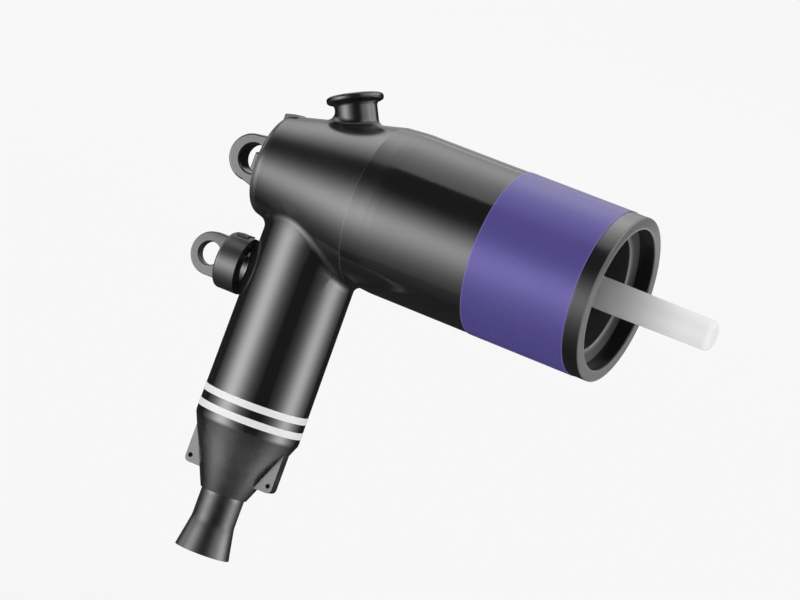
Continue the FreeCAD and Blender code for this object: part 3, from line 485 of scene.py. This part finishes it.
class Jacket(Surface):
    """Black satin rubber, duller on the heel, matt below the rings and on the cuff's front face."""

    def __init__(self):
        super().__init__("jacket_rubber", colour=(0.007, 0.007, 0.0073), roughness=0.11, grain=0.00005)
        self.seam = crossing_point().x + SEAM_REACH
        self.heel_end = self.seam - HEEL_LENGTH
        self.find_parts()
        self.set_gloss()
        self.paint_seam_highlight()
        self.paint_heel_edge_highlight()
        self.dull_cable_end()
        self.dull_cuff_and_paint_its_face()

    def find_parts(self):
        """Shares that are 1 on a part of the jacket and 0 elsewhere."""
        rings_end = lowest("lower_leg_mark").z
        neck = rings_end - FUNNEL_SPAN
        flare = lowest("outer_shield").z + FLARE_LENGTH
        band_end = highest("voltage_band").x
        self.on_heel = self.product(self.rise(self.height, *HEEL_OVER_LEG),
                                    self.rise(self.along, self.heel_end - HEEL_BACK, self.heel_end))
        self.below_rings = self.fall(self.height, *(rings_end + height for height in MATT_START))
        self.on_funnel = self.near(self.height, rings_end - FUNNEL_SPAN / 2, FUNNEL_SPAN)
        self.on_neck = self.fall(self.height, neck - NECK_START, neck)
        self.on_flare = self.fall(self.height, *(flare + height for height in FLARE_START))
        self.on_cuff = self.rise(self.along, band_end, band_end + CUFF_START)

    def tab_share(self):
        """1 on the earthing tabs, which stand out fore and aft of the funnel."""
        from_leg = self.distance(self.along, crossing_point().x)
        side = self.math("ABSOLUTE", self.across)
        half = TAB_THICKNESS / 2
        return self.product(self.rise(from_leg, TAB_REACH, TAB_REACH + TAB_EDGE[0]),
                            self.fall(side, half, half + TAB_EDGE[1]), self.on_funnel)

    def set_gloss(self):
        """Roughness and specular level of the heel, and the specular level of every other part."""
        fading = self.fall(self.along, *(self.seam + length for length in HEEL_FRONT))
        dullness = self.remap(self.along, self.heel_end, self.seam, *HEEL_DULLNESS, "LINEAR")
        dull = self.product(self.on_heel, self.product(dullness, fading))
        self.roughen(dull, HEEL_ROUGHNESS)
        specular = self.remap(dull, 0.0, 1.0, JACKET_SPECULAR, HEEL_SPECULAR, "LINEAR")
        changes = (
            (self.on_funnel, FUNNEL_SPECULAR),
            (self.on_neck, NECK_SPECULAR),
            (self.on_flare, FLARE_SPECULAR),
            (self.on_cuff, self.remap(self.height, *CUFF_HEIGHTS, *CUFF_SPECULAR)),
            (self.tab_share(), TAB_SPECULAR),
        )
        for share, change in changes:
            specular = self.total(specular, self.product(share, change))
        self.set_input("Specular IOR Level", specular)

    def paint_seam_highlight(self):
        """A painted highlight along the parting line round the arm, brighter on its lower half."""
        on_seam = self.product(self.near(self.along, self.seam, SEAM_WIDTH),
                               self.rise(self.height, *SEAM_ON_LEG))
        strength = self.remap(self.height, *SEAM_MIDDLE, 1.0, SEAM_HIGHLIGHT_UPPER_SHARE)
        self.tint(self.product(on_seam, strength), SEAM_HIGHLIGHT_COLOUR)

    def paint_heel_edge_highlight(self):
        """A painted highlight: the lighter stripe round the heel's back edge, strongest at the middle of
        its height.
        """
        steps = [self.remap(self.along, self.heel_end + start, self.heel_end + end, share, 0.0)
                 for start, end, share in HEEL_EDGE_HIGHLIGHT_STEPS]
        above = self.remap(self.height, *HEEL_EDGE_HIGHLIGHT_ABOVE, 1.0, HEEL_EDGE_HIGHLIGHT_ABOVE_SHARE)
        below = self.remap(self.height, *HEEL_EDGE_HIGHLIGHT_BELOW, HEEL_EDGE_HIGHLIGHT_BELOW_SHARE, 1.0)
        edge_highlight = self.product(self.total(*steps), above, below)
        self.tint(self.product(self.on_heel, edge_highlight), HEEL_EDGE_HIGHLIGHT_COLOUR)

    def dull_cable_end(self):
        """Matt rubber with dusty patches down to the flare."""
        dust = self.noise(self.place, PATCH_SCALE, detail=4.0, roughness=0.65)
        above_flare = self.math("SUBTRACT", self.below_rings, self.on_flare)
        patches = self.product(above_flare, self.rise(dust, *PATCH_MIDDLE))
        self.roughen(self.below_rings, MATT_ROUGHNESS)
        self.roughen(self.on_neck, NECK_ROUGHNESS)
        self.roughen(patches, PATCH_ROUGHNESS)
        self.tint(patches, PATCH_COLOUR)

    def dull_cuff_and_paint_its_face(self):
        """The matt front face, with painted shade at its upper front, painted light below and a painted
        highlight along its inner edge.
        """
        rim = highest("outer_shield").x
        outside = highest("outer_shield").y
        inside = outside - CUFF_WALL
        land = self.rise(self.along, rim - 2 * LAND_DEPTH, rim - LAND_DEPTH)
        inner_highlight = self.fall(self.radius(), *(inside + width for width in LAND_INNER_HIGHLIGHT_EDGE))
        forward, upward = LAND_SHADED_SIDE
        toward_shaded_side = self.math("SUBTRACT", self.product(self.height, upward),
                                self.product(self.across, forward))
        painted_shade = self.rise(toward_shaded_side, *(outside * share for share in LAND_SHADE_CHANGE))
        lit_and_shaded_face = self.mix_colour(painted_shade, *LAND_LIT_AND_SHADED_COLOURS)
        self.tint(land, self.mix_colour(inner_highlight, lit_and_shaded_face, LAND_INNER_HIGHLIGHT_COLOUR))
        self.roughen(land, LAND_ROUGHNESS)
        self.roughen(self.on_cuff, CUFF_ROUGHNESS)


def cap_rubber():
    """Satin rubber, duller where the cap's top lies under the heel."""
    skin = Surface("cap_rubber", colour=(0.012, 0.012, 0.0123), roughness=0.36, grain=0.00006)
    top = highest("test_point_cap").z
    start, end = (top + height for height in CAP_TOP)
    skin.set_input("Specular IOR Level", skin.remap(skin.height, start, end, *CAP_SPECULAR))
    return skin.material


def insulation_rubber():
    """Dark grey rubber with a painted highlight on the edge where the bushing goes in."""
    skin = Surface("insulation_rubber", colour=(0.024, 0.024, 0.025), roughness=0.36, grain=0.00008,
                   mottle=0.3, specular=0.36)
    bevel = highest("insulation").x - BEVEL_DEPTH
    skin.tint(skin.near(skin.along, bevel, BEVEL_WIDTH), BEVEL_HIGHLIGHT_COLOUR)
    return skin.material


def insert_rubber():
    return Surface("insert_rubber", colour=(0.010, 0.010, 0.010), roughness=0.42, grain=0.00008).material


def purple_band():
    skin = Surface("purple_band", colour=(0.076, 0.059, 0.232), roughness=0.26, grain=0.00004,
                   mottle=0.06, specular=0.40)
    skin.set_input("Specular Tint", BAND_SPECULAR_TINT)
    for end in (lowest("voltage_band").x, highest("voltage_band").x):
        skin.tint(skin.near(skin.along, end, BAND_EDGE_WIDTH), BAND_EDGE_COLOUR)
    return skin.material


def white_mark():
    return Surface("white_mark", colour=(0.72, 0.72, 0.72), roughness=0.55, grain=0.00005,
                   mottle=0.04).material


def glass_fibre():
    return Surface("glass_fibre", colour=(0.72, 0.68, 0.50), roughness=0.45).material


def follower_plastic():
    """Milky plastic, a little clear, with painted shade that greys it where it comes out of the dark mouth.
    """
    skin = Surface("follower_plastic", colour=FOLLOWER_TIP_COLOUR, roughness=0.50, grain=0.00005,
                   mottle=0.03, specular=0.25)
    rim = highest("outer_shield").x
    tip = highest("arc_follower").x - FOLLOWER_TIP
    skin.tint(skin.fall(skin.along, rim, tip), FOLLOWER_SHADED_ROOT_COLOUR)
    skin.set_input("Subsurface Weight", FOLLOWER_CLEAR)
    skin.set_input("Subsurface Radius", (FOLLOWER_DEPTH,) * 3)
    skin.set_input("Subsurface Scale", 1.0)
    return skin.material


def metal(name, colour, roughness):
    skin = Surface(name, colour, roughness, grain=0.00004, mottle=0.08)
    skin.set_input("Metallic", 1.0)
    return skin.material


def dress(node, material):
    """Gives a CAD node its material in every slot."""
    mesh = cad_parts[node].data
    mesh.materials.clear()
    mesh.materials.append(material)


def dress_nodes():
    white = white_mark()
    tin = metal("tinned_copper", colour=(0.62, 0.62, 0.60), roughness=0.28)
    finishes = {
        "outer_shield": Jacket().material,
        "insulation": insulation_rubber(),
        "inner_shield": insert_rubber(),
        "voltage_band": purple_band(),
        "upper_leg_mark": white,
        "lower_leg_mark": white,
        "pulling_eye_strap": metal("steel_strap", colour=(0.50, 0.50, 0.52), roughness=0.35),
        "connector_lug": metal("copper", colour=(0.72, 0.43, 0.28), roughness=0.30),
        "connector_barrel": metal("aluminium", colour=(0.75, 0.76, 0.78), roughness=0.32),
        "contact_probe": tin,
        "reinforcing_pin": glass_fibre(),
        "arc_follower": follower_plastic(),
        "test_point_electrode": tin,
        "test_point_cap": cap_rubber(),
    }
    for node, material in finishes.items():
        dress(node, material)


def set_view():
    bpy.context.scene.view_settings.view_transform = "Standard"


set_view()
add_camera()
add_world()
add_lights()
add_floor()
dress_nodes()
